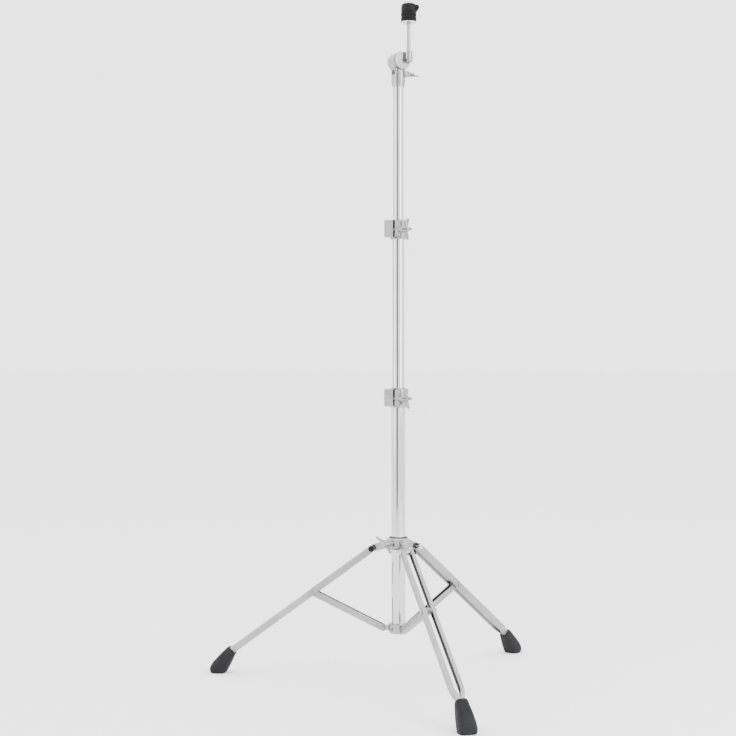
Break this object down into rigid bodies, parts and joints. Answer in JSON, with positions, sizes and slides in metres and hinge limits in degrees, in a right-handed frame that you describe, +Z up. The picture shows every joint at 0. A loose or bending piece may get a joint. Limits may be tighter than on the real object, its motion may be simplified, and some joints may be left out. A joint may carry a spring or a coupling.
{
  "type": "cymbal stand",
  "caption": "Straight chromed cymbal stand with a double-braced folding tripod, telescoping tubes, wing-nut clamps and a brake-drum tilter.",
  "frame": {"origin": "on the floor, under the middle of the stand's bounding box", "axes": "+Z up along the tubes; the front leg points to -Y and the other two to +Y, left and right"},
  "size_m": [0.7098, 0.6176, 1.386],
  "materials": {
    "chrome": "bright chrome plate",
    "plated_steel": "plated pressed steel",
    "nylon": "black moulded nylon",
    "rubber": "matt black rubber",
    "felt": "black wool felt"
  },
  "bodies": {
    "stand": {"base_tube": "chrome", "lower_collar": "chrome", "lower_collar_screw": "plated_steel", "brace_rivet_a": "plated_steel", "brace_rivet_b": "plated_steel", "brace_rivet_c": "plated_steel", "base_clamp": "chrome", "base_clamp_bolt": "plated_steel"},
    "hub": {"leg_hub": "chrome", "leg_hub_bush": "nylon", "leg_bolt_a": "chrome", "leg_bolt_b": "chrome", "leg_bolt_c": "chrome", "leg_bolt_cap_a": "nylon", "leg_bolt_cap_b": "nylon", "leg_bolt_cap_c": "nylon"},
    "hub_lock": {"leg_hub_wing_bolt": "chrome"},
    "leg_a": {"leg_a_bar_left": "plated_steel", "leg_a_bar_right": "plated_steel", "foot_a": "rubber", "foot_rivet_a": "plated_steel", "strut_rivet_a_left": "plated_steel", "strut_rivet_a_right": "plated_steel"},
    "leg_b": {"leg_b_bar_left": "plated_steel", "leg_b_bar_right": "plated_steel", "foot_b": "rubber", "foot_rivet_b": "plated_steel", "strut_rivet_b_left": "plated_steel", "strut_rivet_b_right": "plated_steel"},
    "leg_c": {"leg_c_bar_left": "plated_steel", "leg_c_bar_right": "plated_steel", "foot_c": "rubber", "foot_rivet_c": "plated_steel", "strut_rivet_c_left": "plated_steel", "strut_rivet_c_right": "plated_steel"},
    "strut_a": {"brace_a": "plated_steel"},
    "strut_b": {"brace_b": "plated_steel"},
    "strut_c": {"brace_c": "plated_steel"},
    "base_wing": {"base_clamp_wing_nut": "chrome"},
    "base_liner": {"base_clamp_bush": "nylon"},
    "mid_stage": {"mid_tube": "chrome", "mid_clamp": "chrome", "mid_clamp_bolt": "plated_steel"},
    "mid_wing": {"mid_clamp_wing_nut": "chrome"},
    "mid_liner": {"mid_clamp_bush": "nylon"},
    "top_stage": {"top_tube": "chrome", "tilter_body": "chrome", "tilter_bolt": "plated_steel"},
    "tilter_wing": {"tilter_wing_nut": "chrome"},
    "drum": {"tilter_drum": "chrome", "tilter_screw": "plated_steel", "tilter_retainer": "chrome", "tilter_rod": "chrome", "cup_washer": "chrome", "rod_sleeve": "nylon", "lower_felt": "felt", "upper_felt": "felt"},
    "quick_nut": {"top_nut": "nylon", "top_nut_button": "chrome"}
  },
  "joints": [
    {"name": "hub_slide", "type": "slide", "parent": "stand", "child": "hub", "axis": [0, 0, 1], "range_m": [0, 0.1603]},
    {"name": "leg_a_fold", "type": "hinge", "parent": "hub", "child": "leg_a", "pos_m": [0, 0.04234, 0.272], "axis": [1, 0, 0], "range_deg": [0, 53.48]},
    {"name": "leg_b_fold", "type": "hinge", "parent": "hub", "child": "leg_b", "pos_m": [0.04633, 0.12259, 0.272], "axis": [-0.5, 0.866, 0], "range_deg": [0, 53.48]},
    {"name": "leg_c_fold", "type": "hinge", "parent": "hub", "child": "leg_c", "pos_m": [-0.04633, 0.12259, 0.272], "axis": [-0.5, -0.866, 0], "range_deg": [0, 53.48]},
    {"name": "brace_a_fold", "type": "hinge", "parent": "stand", "child": "strut_a", "pos_m": [0, 0.06384, 0.11], "axis": [-1, 0, 0], "range_deg": [0, 58.38]},
    {"name": "brace_b_fold", "type": "hinge", "parent": "stand", "child": "strut_b", "pos_m": [0.02771, 0.11184, 0.11], "axis": [0.5, -0.866, 0], "range_deg": [0, 58.38]},
    {"name": "brace_c_fold", "type": "hinge", "parent": "stand", "child": "strut_c", "pos_m": [-0.02771, 0.11184, 0.11], "axis": [0.5, 0.866, 0], "range_deg": [0, 58.38]},
    {"name": "hub_lock_turn", "type": "hinge", "parent": "hub", "child": "hub_lock", "pos_m": [0, 0.09584, 0.28425], "axis": [-0.866, -0.5, 0], "range_deg": [-180, 180]},
    {"name": "base_wing_turn", "type": "hinge", "parent": "stand", "child": "base_wing", "pos_m": [-0.00133, 0.06936, 0.579], "axis": [0.8007, -0.599, 0], "range_deg": [-180, 180]},
    {"name": "mid_tube_swivel", "type": "hinge", "parent": "stand", "child": "base_liner", "pos_m": [0, 0.09584, 0.5738], "axis": [0, 0, 1], "range_deg": [-180, 180]},
    {"name": "mid_tube_slide", "type": "slide", "parent": "base_liner", "child": "mid_stage", "axis": [0, 0, 1], "range_m": [-0.3, 0.11]},
    {"name": "mid_wing_turn", "type": "hinge", "parent": "mid_stage", "child": "mid_wing", "pos_m": [-0.00133, 0.06936, 0.9215], "axis": [0.8007, -0.599, 0], "range_deg": [-180, 180]},
    {"name": "top_tube_swivel", "type": "hinge", "parent": "mid_stage", "child": "mid_liner", "pos_m": [0, 0.09584, 0.9163], "axis": [0, 0, 1], "range_deg": [-180, 180]},
    {"name": "top_tube_slide", "type": "slide", "parent": "mid_liner", "child": "top_stage", "axis": [0, 0, 1], "range_m": [-0.268, 0.11]},
    {"name": "tilter_wing_turn", "type": "hinge", "parent": "top_stage", "child": "tilter_wing", "pos_m": [0.01935, 0.09764, 1.2423], "axis": [0.9694, 0.2453, 0], "range_deg": [-180, 180]},
    {"name": "tilter_tilt", "type": "hinge", "parent": "top_stage", "child": "drum", "pos_m": [0, 0.09584, 1.2658], "axis": [-0.2453, 0.9694, 0], "range_deg": [-90, 90]},
    {"name": "top_nut_off", "type": "slide", "parent": "drum", "child": "quick_nut", "axis": [0, 0, 1], "range_m": [0, 0.04]}
  ],
  "couplings": [
    {"joint": "leg_a_fold", "follows": "hub_slide", "rad_per_m": 5.822},
    {"joint": "leg_b_fold", "follows": "hub_slide", "rad_per_m": 5.822},
    {"joint": "leg_c_fold", "follows": "hub_slide", "rad_per_m": 5.822},
    {"joint": "brace_a_fold", "follows": "hub_slide", "rad_per_m": 6.3546},
    {"joint": "brace_b_fold", "follows": "hub_slide", "rad_per_m": 6.3546},
    {"joint": "brace_c_fold", "follows": "hub_slide", "rad_per_m": 6.3546}
  ]
}
